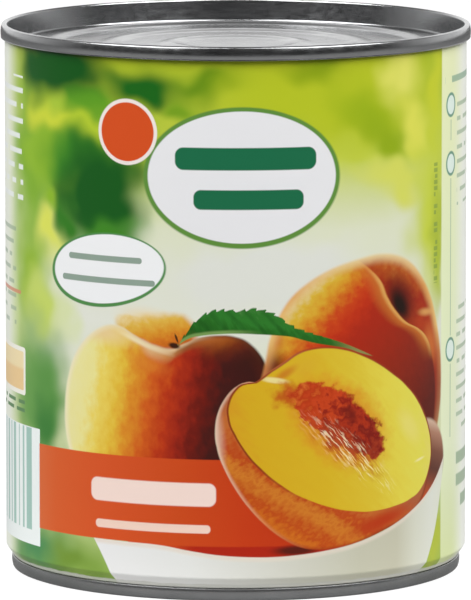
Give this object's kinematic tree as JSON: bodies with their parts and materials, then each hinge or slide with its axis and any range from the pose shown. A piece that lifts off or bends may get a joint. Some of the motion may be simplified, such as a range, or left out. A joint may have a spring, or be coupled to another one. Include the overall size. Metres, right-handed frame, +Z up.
{
  "type": "printed steel food can of peaches",
  "caption": "Sealed round steel food can with a printed body, ringed ends, seamed rims and a swaged-in foot for stacking.",
  "frame": {"origin": "centre of the can where it stands, in the plane of the foot seam", "axes": "+Z up along the can's axis, -Y towards the front of the print"},
  "size_m": [0.102, 0.102, 0.1189],
  "materials": {
    "printed_tinplate": "litho print under clear gloss varnish",
    "bare_tinplate": "bright rolled tin coating"
  },
  "bodies": {
    "root": {"can_body": "printed_tinplate", "top_seam": "bare_tinplate", "top_panel": "bare_tinplate", "foot_seam": "bare_tinplate", "bottom_panel": "bare_tinplate"}
  },
  "joints": []
}
